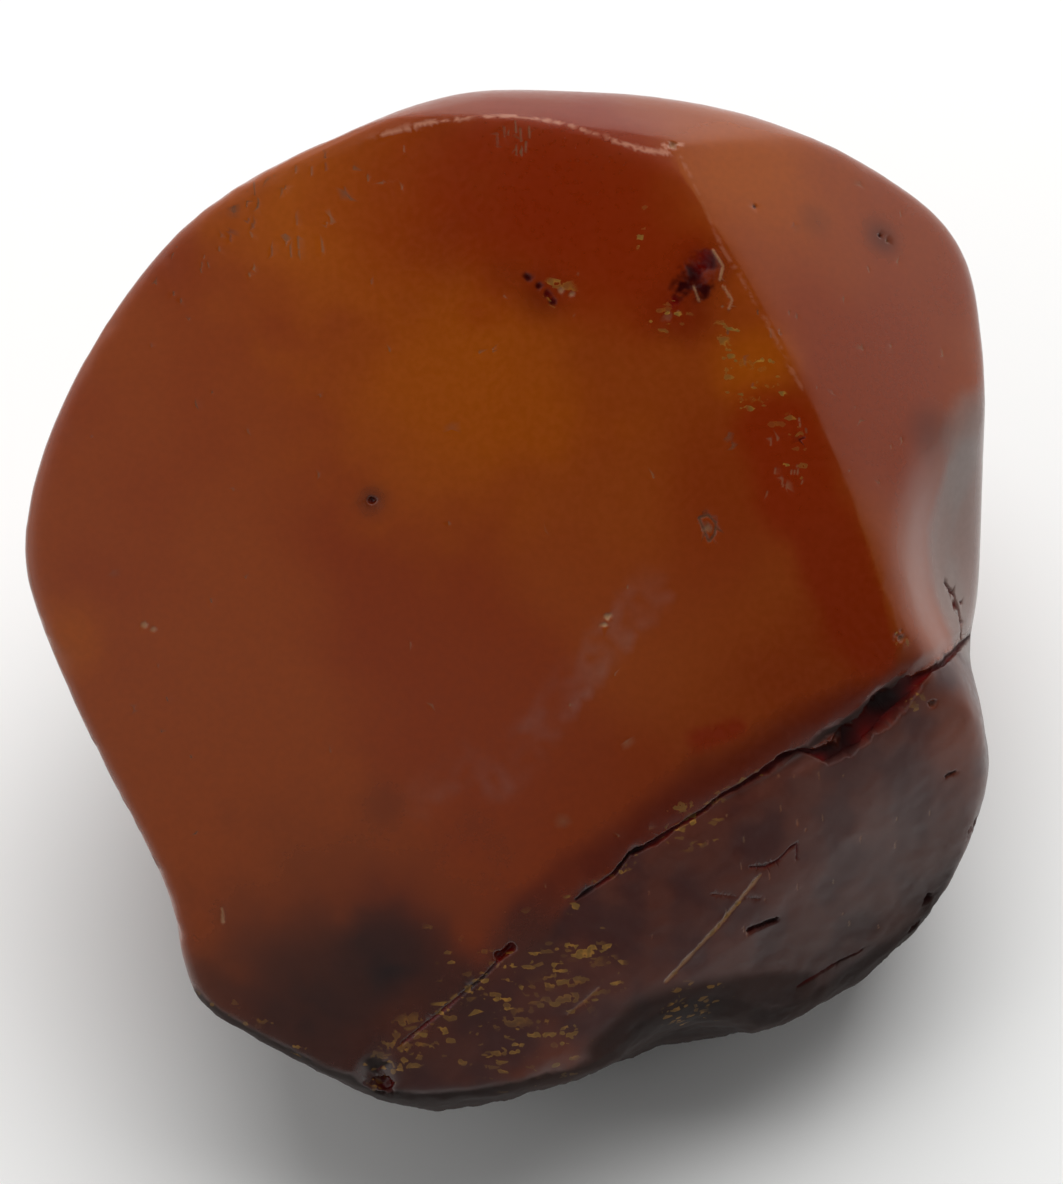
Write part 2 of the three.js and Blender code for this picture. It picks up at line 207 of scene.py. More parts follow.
def node_mesh(node):
    """A CAD node's corners and triangles, with its split corners joined."""
    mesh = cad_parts[node].data
    corners = np.empty(len(mesh.vertices) * 3, np.float32)
    mesh.vertices.foreach_get("co", corners)
    mesh.calc_loop_triangles()
    triangles = np.empty(len(mesh.loop_triangles) * 3, np.int32)
    mesh.loop_triangles.foreach_get("vertices", triangles)
    points, joined = np.unique(corners.reshape(-1, 3), axis=0, return_inverse=True)
    return points.astype(float), joined.reshape(-1)[triangles].reshape(-1, 3)


def sides_of(triangles):
    """Each side once, as a pair of corners, and the number of the side that starts at each corner."""
    pairs = np.stack([triangles, np.roll(triangles, -1, axis=1)], axis=-1)
    sides, number = np.unique(np.sort(pairs.reshape(-1, 2), axis=1), axis=0, return_inverse=True)
    return sides, number.reshape(-1, 3)


def triangle_normals(points, triangles):
    """Normals of the triangles, as long as twice their areas."""
    a, b, c = (points[triangles[:, i]] for i in range(3))
    return np.cross(b - a, c - a)


def corner_normals(points, triangles):
    """Unit normals at the corners, from the triangles around each."""
    normals = np.zeros_like(points)
    for i in range(3):
        np.add.at(normals, triangles[:, i], triangle_normals(points, triangles))
    return normals / np.maximum(np.linalg.norm(normals, axis=1, keepdims=True), 1e-12)


def side_angles(points, triangles, number):
    """The angle in degrees by which the surface turns at each side."""
    flat = triangle_normals(points, triangles)
    flat /= np.maximum(np.linalg.norm(flat, axis=1, keepdims=True), 1e-12)
    both = np.zeros((number.max() + 1, 3))
    for i in range(3):
        np.add.at(both, number[:, i], flat)
    return np.degrees(np.arccos(np.clip((both ** 2).sum(axis=1) / 2 - 1, -1, 1)))


def loop_subdivide(points, triangles, crisp):
    """One round of Loop subdivision of a closed mesh of triangles, which keeps its crisp sides."""
    sides, number = sides_of(triangles)
    opposite = np.zeros((len(sides), 3))
    np.add.at(opposite, number, points[np.roll(triangles, -2, axis=1)])
    middles = points[sides].sum(axis=1) * 0.375 + opposite * 0.125
    middles[crisp] = points[sides[crisp]].mean(axis=1)
    around, along = np.zeros_like(points), np.zeros_like(points)
    count, crisp_count = np.zeros(len(points)), np.zeros(len(points))
    for near, far in (sides.T, sides.T[::-1]):
        np.add.at(around, near, points[far])
        np.add.at(count, near, 1)
        np.add.at(along, near[crisp], points[far[crisp]])
        np.add.at(crisp_count, near[crisp], 1)
    weight = (0.625 - (0.375 + 0.25 * np.cos(2 * np.pi / count)) ** 2) / count
    moved = points * (1 - count * weight)[:, None] + around * weight[:, None]
    on_edge, on_corner = crisp_count == 2, crisp_count > 2
    moved[on_edge] = points[on_edge] * 0.75 + along[on_edge] * 0.125
    moved[on_corner] = points[on_corner]
    new = number + len(points)
    a, b, c = triangles.T
    ab, bc, ca = new.T
    quarters = [(a, ab, ca), (ab, b, bc), (ca, bc, c), (ab, bc, ca)]
    on_crisp = np.concatenate([crisp_count >= 2, crisp])
    return np.vstack([moved, middles]), np.vstack([np.stack(q, axis=1) for q in quarters]), on_crisp


def split_long_sides(points, triangles, on_crisp, longest):
    """Halves each side longer than longest(middle), keeping the surface's curve."""
    sides, number = sides_of(triangles)
    ends = points[sides]
    middles = ends.mean(axis=1)
    length = np.linalg.norm(ends[:, 0] - ends[:, 1], axis=1)
    long = length > longest(middles)
    normals = corner_normals(points, triangles)
    normals[on_crisp] = 0
    normals = normals[sides]
    offset = ((ends - middles[:, None]) * normals).sum(axis=2, keepdims=True)
    curved = middles + 0.5 * (offset * normals).mean(axis=1)
    place = np.full(len(sides), -1)
    place[long] = len(points) + np.arange(long.sum())
    new = place[number]
    count = (new >= 0).sum(axis=1)
    made = [triangles[count == 0]]
    for splits in (1, 2, 3):
        rows = count == splits
        corners, middle = triangles[rows], new[rows]
        first = np.argmax(middle >= 0, axis=1) if splits == 1 else (np.argmin(middle, axis=1) + 1) % 3
        turn = (first[:, None] + np.arange(3)) % 3
        a, b, c = np.take_along_axis(corners, turn, axis=1).T
        ab, bc, ca = np.take_along_axis(middle, turn, axis=1).T
        patterns = {
            1: [(a, ab, c), (ab, b, c)],
            2: [(ab, b, bc), (a, ab, bc), (a, bc, c)],
            3: [(a, ab, ca), (ab, b, bc), (ca, bc, c), (ab, bc, ca)],
        }
        made += [np.stack(pattern, axis=1) for pattern in patterns[splits]]
    still_crisp = np.concatenate([on_crisp, on_crisp[sides[long]].all(axis=1)])
    return np.vstack([points, curved[long]]), np.vstack(made), still_crisp


points, triangles = node_mesh("nugget")
lump_tree = BVHTree.FromPolygons([Vector(p) for p in points], triangles.tolist())
LUMP_MIDDLE = Vector((0, 0, 0.45 * (cad_low[2] + cad_high[2])))
FAR_OFF = 200 * MM
TOWARDS_RIGHT = np.array(RIGHT)
TOWARDS_TOP = np.array(UP)
TOWARDS_VIEWER = np.array(OUT)


def surface_point(pixel):
    """The point of the lump that a photo pixel shows, or the nearest one if it shows the floor."""
    aim = (face_plane_point(pixel) - CAMERA_POINT).normalized()
    hit = lump_tree.ray_cast(CAMERA_POINT, aim)[0]
    if hit is None:
        hit = lump_tree.find_nearest(face_plane_point(pixel))[0]
    return np.array(hit)


def side_point(direction):
    """The point of the lump in a direction from its middle: degrees round from the viewer, and up."""
    round_by, up_by = (math.radians(angle) for angle in direction)
    level = Vector((math.sin(round_by), -math.cos(round_by), 0))
    outward = level * math.cos(up_by) + Vector((0, 0, math.sin(up_by)))
    return np.array(lump_tree.ray_cast(LUMP_MIDDLE + outward * FAR_OFF, -outward)[0])


def smooth_step(low, high, value):
    share = np.clip((value - low) / (high - low), 0, 1)
    return share * share * (3 - 2 * share)


def near_line(places, line):
    """Distance from each place to a line of 3-D points, and how far along it in segments."""
    nearest = np.full(len(places), np.inf)
    along = np.zeros(len(places))
    for i, (a, b) in enumerate(zip(line[:-1], line[1:])):
        run = b - a
        share = np.clip((places - a) @ run / max(run @ run, 1e-18), 0, 1)
        away = np.linalg.norm(places - a - share[:, None] * run, axis=1)
        closer = away < nearest
        nearest[closer] = away[closer]
        along[closer] = i + share[closer]
    return nearest, along


def close_by(places, line, reach):
    """Numbers of the places within reach of the box round a line of 3-D points."""
    inside = (places > line.min(axis=0) - reach) & (places < line.max(axis=0) + reach)
    return np.flatnonzero(inside.all(axis=1))


def lumpiness(places, size, octaves=3):
    """Smooth noise at each place, about -1 to 1, whose broadest lumps are size across."""
    return np.array([noise.fractal(Vector(p / size), 1.0, 2.0, octaves) for p in places])


edge_lines = [np.array([surface_point(pixel) for pixel in pixels]) for pixels in EDGES.values()]
fissure_line = np.array([surface_point(pixel) for pixel, _, _ in FISSURE])
fissure_width = np.array([width for _, width, _ in FISSURE]) * PIXEL
fissure_depth = np.array([depth for _, _, depth in FISSURE]) * MM

# Every cut line and pit as places on the lump, with its sizes in metres.
cuts = []
for pixels, half_width, depth, dusty in LINES.values():
    line = np.array([surface_point(pixel) for pixel in pixels])
    cuts.append((line, half_width * PIXEL, depth * MM, dusty))
for directions, half_width, depth in SIDE_CRACKS.values():
    line = np.array([side_point(direction) for direction in directions])
    cuts.append((line, half_width * MM, depth * MM, 0))
scatter = np.random.default_rng(FLECK_SEED)
for middle, half_sizes, count, length in FLECKS.values():
    for x, y, share in scatter.uniform(-1, 1, (count, 3)):
        low_end = np.array(middle) + np.array(half_sizes) * (x, y)
        ends = [low_end, low_end - (share, length * (1 + 0.6 * share))]
        line = np.array([surface_point(pixel) for pixel in ends])
        cuts.append((line, FLECK_HALF_WIDTH * PIXEL, FLECK_DEPTH * MM, FLECK_DUST * (0.75 + 0.25 * x)))
pits = []
for pixel, radius, depth, dust in PITS.values():
    pits.append((np.array([surface_point(pixel)] * 2), radius * PIXEL, depth * MM, dust))
for direction, radius, depth in SIDE_PITS.values():
    pits.append((np.array([side_point(direction)] * 2), radius * MM, depth * MM, 0))

# Past the fissure's end the lobe's upper edge runs on to the foot, with no crack. Across that edge,
# the distance is this share of the distance straight down the face.
LOBE_RUN_ON = [(505, 952), (455, 1003), (380, 1060), (340, 1110)]
LOBE_SLOPE = 0.78
lobe_line = np.vstack([fissure_line, [surface_point(pixel) for pixel in LOBE_RUN_ON]])


def out_height(places):
    """How far each place stands out from the plane of the broad face's middle, towards the viewer."""
    return (places - np.array(FACE_POINT)) @ TOWARDS_VIEWER


def lobe_side(places):
    """Signed distance into the lower lobe, measured across the fissure's line on the broad face."""
    offset = places - np.array(FACE_POINT)
    u, v = offset @ TOWARDS_RIGHT, offset @ TOWARDS_TOP
    line = lobe_line - np.array(FACE_POINT)
    line_u, line_v = line @ TOWARDS_RIGHT, line @ TOWARDS_TOP
    return (np.interp(u, line_u[::-1], line_v[::-1]) - v) * LOBE_SLOPE


# The longest sides of the mesh, where it is finest and elsewhere.
FINE_SIDE = 0.13 * MM
EDGE_SIDE = 0.3 * MM
LOBE_SIDE = 0.45 * MM
FRONT_SIDE = 0.7 * MM
BACK_SIDE = 1.0 * MM

# How far the fine mesh reaches round the fissure and the other marks, in half widths and a margin.
FISSURE_REACH = 1.4
FISSURE_MARGIN = 0.2 * MM
MARK_REACH = 1.5
MARK_MARGIN = 0.08 * MM

# A side of the solid is crisp if it turns by this many degrees, this close to a ground edge.
CRISP_ANGLE = 10
CRISP_REACH = 1.3 * MM
SPLIT_ROUNDS = 5


def wanted_side(places):
    """The longest side allowed at each place: short at the fissure, the lines, pits and crisp edges."""
    wanted = np.where(out_height(places) > 0, FRONT_SIDE, BACK_SIDE)
    wanted[lobe_side(places) > 0] = LOBE_SIDE
    for line in edge_lines:
        wanted[near_line(places, line)[0] < EDGE_SIDE * 3] = EDGE_SIDE
    away, along = near_line(places, fissure_line)
    reach = np.interp(along, range(len(fissure_width)), fissure_width) * FISSURE_REACH + FISSURE_MARGIN
    wanted[away < reach] = FINE_SIDE
    for line, half_width, _, _ in cuts + pits:
        reach = half_width * MARK_REACH + MARK_MARGIN
        close = close_by(places, line, reach)
        wanted[close[near_line(places[close], line)[0] < reach]] = FINE_SIDE
    return wanted


sides, number = sides_of(triangles)
middles = points[sides].mean(axis=1)
near_edge = np.min([near_line(middles, line)[0] for line in edge_lines], axis=0) < CRISP_REACH
crisp = near_edge & (side_angles(points, triangles, number) > CRISP_ANGLE)
points, triangles, on_crisp = loop_subdivide(points, triangles, crisp)
for _ in range(SPLIT_ROUNDS):
    points, triangles, on_crisp = split_long_sides(points, triangles, on_crisp, wanted_side)

# Where each corner of the mesh lies, and noise there that breaks up edges, skins and stains.
normals = corner_normals(points, triangles)
height = out_height(points)
front = smooth_step(-6 * MM, -1 * MM, height)
behind = smooth_step(7 * MM, 14 * MM, -height)
sharp_lumps = lumpiness(points, 0.35 * MM, 2)
fine_lumps = lumpiness(points, 0.7 * MM)
middling_lumps = lumpiness(points, 3 * MM)
broad_lumps = lumpiness(points, 16 * MM)

# The lobe's edge lies a little above the fissure, where it is sharp. It is softer past the fissure's
# end and on the hidden sides, where it wanders. All in mm.
LOBE_OVERLAP = 0.25
SHARP_FADE, END_FADE, HIDDEN_FADE = 0.15, 2, 1.5
FINE_WANDER, MIDDLING_WANDER, BROAD_WANDER = 0.2, 1.5, 6
past_end = smooth_step(0, 4 * MM, (fissure_line[-2] - points) @ TOWARDS_RIGHT)
edge = -LOBE_OVERLAP * MM * (1 - past_end)
fade = (SHARP_FADE + END_FADE * past_end + HIDDEN_FADE * behind) * MM
hidden_wander = BROAD_WANDER * broad_lumps + MIDDLING_WANDER * middling_lumps
wander = (FINE_WANDER * fine_lumps + behind * hidden_wander) * MM
on_lobe = smooth_step(edge - fade, edge + fade, lobe_side(points) + wander)

# The lobe, and patches of the sides and back, keep their weathered skin.
patches = smooth_step(-0.1, 0.35, broad_lumps + 0.1 * middling_lumps)
skin = np.maximum(on_lobe, patches * (1 - smooth_step(-9 * MM, -3 * MM, height)))

# The foot is where the front turns down to the floor. It is broken and dirty, and its colour is
# darkened where it faces down, as painted shade with soot.
foot = smooth_step(0.38, 0.58, -normals @ TOWARDS_TOP) * smooth_step(-16 * MM, -8 * MM, height)

# The low relief of skin and foot in mm, by fine and by middling lumps.
SKIN_FINE, SKIN_MIDDLING = 0.02, 0.06
FOOT_FINE, FOOT_MIDDLING = 0.06, 0.16
inward = skin * (SKIN_FINE * fine_lumps + SKIN_MIDDLING * middling_lumps) * MM
inward += foot * (FOOT_FINE * fine_lumps + FOOT_MIDDLING * middling_lumps) * MM

# The fissure, with ragged lips and a broken floor.
LIP_RAGGED = 0.4
FLOOR_BROKEN = 0.25
LEAST_WIDTH = 0.05 * MM
away, along = near_line(points, fissure_line)
width = np.interp(along, range(len(fissure_width)), fissure_width) * (1 + LIP_RAGGED * fine_lumps)
depth = np.interp(along, range(len(fissure_depth)), fissure_depth) * (1 + FLOOR_BROKEN * middling_lumps)
crack = front * (1 - smooth_step(0.55, 1.15, away / np.maximum(width, LEAST_WIDTH)))
inward += crack * depth

# What is broken open, and what is dusty, from none to all.
cavity = crack.copy()
dust = np.zeros(len(points))


def press(marks, ragged_by, flat_share):
    """Presses lines or pits into the surface, with ragged edges, and marks what is broken or dusty."""
    for line, half_width, depth, dusty in marks:
        close = close_by(points, line, half_width * 2.2)
        reach = np.maximum(half_width * (1 + ragged_by[close]), 0.03 * MM)
        share = 1 - smooth_step(flat_share, 1, near_line(points[close], line)[0] / reach)
        if depth > 0:
            cavity[close] = np.maximum(cavity[close], share * (1 - dusty))
        dust[close] = np.maximum(dust[close], share * dusty)
        inward[close] += share * depth


press(cuts, 0.5 * fine_lumps, 0.3)
press(pits, 0.4 * fine_lumps + 0.4 * sharp_lumps, 0.25)

points = points - normals * inward[:, None]

# Soft stains inside the amber, and painted light, shade, sheen and glints. Each blob is a pixel, a
# radius in pixels and a strength, and each band is pixels along a line, a half width in pixels and a
# strength.
# The dark cloud is a stain inside the amber; the corner and trough blobs are painted shade on the lower
# edge and in the hollow.
SMOKE_AND_SHADE_BLOBS = {
    "dark cloud": ((380, 960), 85, 0.75),
    "cloud heart": ((390, 955), 66, 0.85),
    "cloud right": ((455, 985), 65, 0.7),
    "cloud left": ((310, 975), 95, 0.6),
    "cloud foot": ((350, 1035), 105, 0.7),
    "deep foot": ((300, 1030), 70, 0.4),
    "corner": ((245, 985), 100, 0.4),
    "wide": ((350, 980), 230, 0.42),
    "fissure's end": ((525, 935), 60, 0.5),
    "hole halo": ((372, 500), 22, 0.5),
    "right halo": ((882, 238), 34, 0.5),
    "right halo far": ((815, 220), 26, 0.25),
    "waist halo": ((930, 430), 45, 0.35),
    "low smudge": ((385, 805), 30, 0.2),
    "trough": ((690, 1018), 60, 0.5),
}
# Painted shade along the bottom-left edge, where the face turns down.
EDGE_SHADE_BANDS = {
    "foot edge": ([(195, 985), (300, 1045), (380, 1085)], 40, 0.4),
}
EMBER_BLOBS = {
    "upper pit halo": ((545, 290), 46, 0.6),
    "upper pit left": ((505, 272), 30, 0.3),
    "ridge pit": ((700, 270), 42, 0.8),
    "ridge pit halo": ((678, 300), 58, 0.7),
}
# Painted shade: a darker red band beside the fissure, where its groove lies in shade.
FISSURE_SHADE_BANDS = {
    "above the fissure": ([(540, 915), (625, 850), (690, 802), (780, 750), (910, 680)], 44, 0.55),
    "fissure lip": ([(600, 868), (690, 802), (780, 750), (910, 680)], 24, 0.4),
}
WARM_BLOBS = {
    "top": ((560, 190), 170, 1.0),
    "top right": ((640, 260), 120, 0.8),
    "top left": ((400, 200), 120, 0.5),
}
WARM_BANDS = {
    "ridge strip": ([(778, 430), (808, 500), (846, 590), (872, 640)], 58, 0.9),
    "orange patch": ([(700, 738), (736, 728)], 15, 0.9),
}
# Painted light: lighter amber at the top and upper left, where the key light falls, and a painted glow
# along the thin left edge.
PAINTED_LIGHT_BLOBS = {
    "upper left": ((320, 210), 160, 1.0),
    "strip top": ((755, 365), 60, 0.8),
    "middle": ((450, 390), 190, 0.8),
    "left glow": ((70, 640), 60, 0.6),
    "right face top": ((750, 165), 120, 0.9),
}
HAZE_BANDS = {
    "haze streak": ([(652, 588), (600, 650), (560, 700), (500, 780)], 28, 0.16),
    "haze edge": ([(672, 598), (620, 650), (540, 750)], 6, 0.15),
    "low haze": ([(470, 760), (420, 800)], 24, 0.12),
}
# Painted sheen: a pale mauve reflection on the waist and the lobe's right side.
PAINTED_SHEEN_BLOBS = {
    "lobe's upper right": ((850, 800), 110, 0.1),
    "lobe's right": ((910, 870), 110, 0.12),
}
PAINTED_SHEEN_BANDS = {
    "waist": ([(968, 455), (950, 500), (940, 550), (950, 600), (962, 640)], 34, 0.7),
    "waist rim": ([(976, 440), (974, 520), (972, 600)], 60, 0.7),
}
CLEAN_BLOBS = {
    "lobe's right edge": ((960, 745), 75, 0.5),
    "lobe's foot": ((560, 1075), 60, 0.3),
}
DIRT_BLOBS = {
    "fissure end": ((572, 905), 14, 0.8),
    "lobe upper cluster": ((585, 955), 60, 0.5),
    "lobe left cluster": ((512, 1005), 65, 0.65),
    "lobe all": ((520, 1010), 140, 0.35),
    "foot": ((398, 1052), 40, 0.9),
    "foot notch": ((380, 1078), 24, 1.0),
    "trough": ((690, 1012), 55, 0.6),
    "cavity crumbs": ((913, 702), 18, 0.9),
    "ridge crumbs": ((670, 316), 26, 0.8),
    "ridge chip": ((721, 328), 16, 1.0),
    "upper pit": ((560, 292), 24, 0.5),
    "lip flakes": ((690, 832), 45, 0.4),
}
DIRT_BANDS = {
    "foot band": ([(372, 1070), (404, 1042), (430, 1024), (456, 1004), (486, 976)], 12, 1.0),
    "foot rim": ([(200, 990), (290, 1042), (375, 1082)], 14, 0.35),
    "ridge streak": ([(724, 341), (730, 372), (738, 398)], 8, 0.8),
    "strip specks": ([(745, 345), (770, 400), (800, 470)], 26, 0.35),
    "fissure lips": ([(590, 890), (657, 841), (721, 796), (783, 759)], 9, 0.45),
    "upper streak": ([(644, 212), (642, 232), (638, 253)], 4, 0.9),
    "lobe scratch": ([(760, 875), (722, 922), (666, 981)], 3, 1.0),
    "lip ring": ([(895, 643), (898, 634), (903, 633), (908, 643)], 3, 0.9),
    "lobe mark": ([(536, 1050), (538, 1064)], 3, 1.0),
    "lobe mark left": ([(484, 1053), (500, 1053)], 3, 1.0),
    "lobe mark green": ([(424, 1040), (436, 1044)], 4, 1.0),
}
# Painted shade in the lobe's trough, which joins the foot's darkening.
FOOT_BANDS = {
    "trough": ([(610, 1050), (645, 1018), (700, 1002), (760, 992), (800, 990)], 36, 0.9),
}
# Painted glints: a pale highlight line along the bevel's lower edge, at the apex and along the ridge.
PAINTED_GLINT_BANDS = {
    "bevel edge": ([(370, 137), (440, 120), (520, 116), (560, 123), (640, 149), (668, 153)], 3.5, 0.8),
    "apex": ([(666, 146), (680, 143)], 6, 0.9),
    "ridge": ([(680, 156), (721, 246), (767, 322), (801, 387)], 2.5, 0.25),
}


# The edges of blobs and bands wander, by this share of their size.
WANDER = 0.3

# How far normals lean to the right: less than the first on the broad face, more than the second past
# the ridge.
STILL_BROAD_FACE = 0.2
PAST_THE_RIDGE = 0.3
on_broad_face = 1 - smooth_step(STILL_BROAD_FACE, PAST_THE_RIDGE, normals @ TOWARDS_RIGHT)


def blob_share(pixel, radius):
    """One at the photo pixel's place on the lump, fading to nothing about radius pixels away."""
    away = np.linalg.norm(points - surface_point(pixel), axis=1) / (radius * PIXEL)
    return 1 - smooth_step(0.15, 1, away * (1 + WANDER * middling_lumps))


def band_share(pixels, half_width):
    """One along a line of photo pixels on the lump, fading to nothing half_width pixels away."""
    line = np.array([surface_point(pixel) for pixel in pixels])
    away = near_line(points, line)[0] / (half_width * PIXEL)
    return 1 - smooth_step(0.4, 1, away * (1 + WANDER * middling_lumps))


def stain(blobs, bands):
    """All the blobs and bands of one kind as one value per corner, stronger where they overlap."""
    clear = np.ones(len(points))
    for pixel, radius, strength in blobs.values():
        clear *= 1 - strength * blob_share(pixel, radius)
    for pixels, half_width, strength in bands.values():
        clear *= 1 - strength * band_share(pixels, half_width)
    return 1 - clear


def colour(red, green, blue):
    """A linear colour from sRGB values of 0 to 255."""
    share = [value / 255 for value in (red, green, blue)]
    return tuple(s / 12.92 if s <= 0.04045 else ((s + 0.055) / 1.055) ** 2.4 for s in share) + (1.0,)


RUST = colour(172, 76, 20)
COGNAC = colour(160, 62, 14)
DEEP_ORANGE = colour(156, 46, 5)
# A lighter amber, used only as painted light.
PAINTED_LIGHT_HONEY = colour(192, 92, 10)
# Grey-black of the dark cloud, also used as painted shade on the lower edge and in the trough.
SMOKE_AND_SHADE = colour(44, 33, 34)
# Dark red of the stains round the pits, also used as painted shade beside the fissure.
EMBER_RED_AND_SHADE = colour(96, 22, 8)
SKIN_BROWN = colour(110, 56, 42)
SKIN_DARK = colour(88, 44, 38)
BLOOD_RED = colour(124, 10, 4)
GARNET = colour(56, 5, 4)
# Pale mauve of the haze streaks, also used as painted sheen.
PALE_HAZE_AND_SHEEN = colour(168, 146, 138)
OCHRE = colour(208, 146, 58)
KHAKI = colour(148, 106, 46)
# Near-black brown of soot, used as painted shade on the foot and trough.
SOOT_AND_SHADE = colour(34, 22, 16)
# Pale pink of the painted glints on the edges.
PAINTED_GLINT_PINK = colour(226, 154, 124)
PALE_DUST = colour(210, 160, 116)


def mixed(first, second, share):
    """Two colours mixed at each corner by its share of the second. Each is one, or one per corner."""
    first, second = np.asarray(first), np.asarray(second)
    return first + share[:, None] * (second - first)


# The stains and the painted light, shade, sheen and glints lie over each other in this order, from
# the amber's own two browns to dust.
FOOT_SHADE_AND_SOOT = 0.85
WORN_OFF = 0.6
wisps = smooth_step(-0.4, 0.4, middling_lumps)
streaks = (0.2 + 0.8 * wisps) * smooth_step(-0.6, 0.3, fine_lumps)
worn_patches = behind * smooth_step(-0.2, 0.4, broad_lumps + 0.4 * middling_lumps)
foot = np.maximum(foot, stain({}, FOOT_BANDS))
layers = [
    # Painted light at the top, the upper left and the thin left edge.
    (PAINTED_LIGHT_HONEY, stain(PAINTED_LIGHT_BLOBS, {})),
    # Dark red stains round the pits, and painted shade beside the fissure.
    (EMBER_RED_AND_SHADE, stain(EMBER_BLOBS, FISSURE_SHADE_BANDS) * (1 - on_lobe)),
    (DEEP_ORANGE, stain(WARM_BLOBS, WARM_BANDS) * on_broad_face),
    (mixed(SKIN_BROWN, SKIN_DARK, wisps), skin * (1 - stain(CLEAN_BLOBS, {}))),
    (PALE_HAZE_AND_SHEEN, stain({}, HAZE_BANDS) * streaks),
    # Painted sheen on the waist and the lobe.
    (PALE_HAZE_AND_SHEEN, stain(PAINTED_SHEEN_BLOBS, PAINTED_SHEEN_BANDS)),
    # The dark cloud, and painted shade on the lower edge and in the trough.
    (SMOKE_AND_SHADE, stain(SMOKE_AND_SHADE_BLOBS, EDGE_SHADE_BANDS) * (0.9 + 0.1 * wisps)),
    # Painted shade with soot on the foot and trough, broken up behind.
    (SOOT_AND_SHADE, FOOT_SHADE_AND_SOOT * foot * (1 - WORN_OFF * worn_patches)),
    (mixed(BLOOD_RED, GARNET, wisps), cavity),
    # Painted glints along the bevel, the apex and the ridge.
    (PAINTED_GLINT_PINK, stain({}, PAINTED_GLINT_BANDS) * smooth_step(-0.4, 0.1, sharp_lumps)),
    (PALE_DUST, dust),
]
tint = mixed(RUST, COGNAC, smooth_step(-0.4, 0.4, broad_lumps))
for over, share in layers:
    tint = mixed(tint, over, share)


def make_piece(name, points, triangles, tint, masks):
    """A smooth-shaded mesh object with a tint, and one value for each mask, per corner."""
    mesh = bpy.data.meshes.new(name)
    mesh.from_pydata(points.tolist(), [], triangles.tolist())
    mesh.shade_smooth()
    colours = mesh.attributes.new("tint", "FLOAT_COLOR", "POINT")
    colours.data.foreach_set("color", tint.astype(np.float32).ravel())
    for mask, values in masks.items():
        layer = mesh.attributes.new(mask, "FLOAT", "POINT")
        layer.data.foreach_set("value", values.astype(np.float32))
    piece = bpy.data.objects.new(name, mesh)
    bpy.context.scene.collection.objects.link(piece)
    return piece


# How much rougher than the polished amber its skin, foot and fissure are.
SKIN_DULL = 0.1
FOOT_DULL = 0.65
CRACK_DULL = 0.4
masks = {
    "dirt": stain(DIRT_BLOBS, DIRT_BANDS),
    "dull": SKIN_DULL * skin + FOOT_DULL * foot + CRACK_DULL * crack,
}
nugget = make_piece("amber_lump", points, triangles, tint, masks)


def add_node(tree, kind, settings=None, **inputs):
    """A shader node with its settings, and its inputs linked or set. _ in a name stands for a space."""
    made = tree.nodes.new(kind)
    for key, value in (settings or {}).items():
        setattr(made, key, value)
    for key, value in inputs.items():
        socket = made.inputs[key.replace("_", " ")]
        if isinstance(value, bpy.types.NodeSocket):
            tree.links.new(value, socket)
        else:
            socket.default_value = value
    return made


def mask_value(tree, name):
    return add_node(tree, "ShaderNodeAttribute", {"attribute_name": name}).outputs["Fac"]


def arithmetic(tree, operation, first, second):
    """A Math node's result for two numbers or sockets."""
    made = add_node(tree, "ShaderNodeMath", {"operation": operation})
    for socket, value in zip(made.inputs, (first, second)):
        if isinstance(value, bpy.types.NodeSocket):
            tree.links.new(value, socket)
        else:
            socket.default_value = value
    return made.outputs["Value"]


def rise(tree, value, low, high, to_low=0.0, to_high=1.0):
    """A smooth step from to_low, where the value is low, to to_high, where it is high."""
    ends = {"From_Min": low, "From_Max": high, "To_Min": to_low, "To_Max": to_high}
    step = {"interpolation_type": "SMOOTHSTEP"}
    return add_node(tree, "ShaderNodeMapRange", step, Value=value, **ends).outputs["Result"]


def blend(tree, share, first, second):
    """Mixes two colours, each a colour or a socket."""
    mix = tree.nodes.new("ShaderNodeMix")
    mix.data_type = "RGBA"
    for index, value in ((0, share), (6, first), (7, second)):
        if isinstance(value, bpy.types.NodeSocket):
            tree.links.new(value, mix.inputs[index])
        else:
            mix.inputs[index].default_value = value
    return mix.outputs[2]


AMBER_IOR = 1.54
AMBER_TRANSMISSION = 0.5
AMBER_ABSORPTION = (0.6, 0.35, 0.0, 1.0)
AMBER_DENSITY = 3000.0
POLISH = (0.2, 0.27)
GRIT_DULL = 0.1
BODY_SHADE = (0.96, 1.04)
RELIEF_STRENGTH = 0.05
RELIEF_HEIGHT = 0.08 * MM

# How many grains, crumbs of the two sizes, and ripples of the polish there are in a metre.
GRAIN_SCALE = 2600.0
COARSE_CRUMBS = 1200.0
FINE_CRUMBS = 2600.0
RIPPLE_SCALE = 1500.0

# The crumbs of dirt and the ripples are drawn out along the scratches.
SCRATCH_TURN = (0.0, 0.0, math.radians(-50))
SCRATCH_STRETCH = (0.5, 1.3, 1.0)


def noise_value(tree, place, scale):
    return add_node(tree, "ShaderNodeTexNoise", Vector=place, Scale=scale, Detail=1.0).outputs["Fac"]


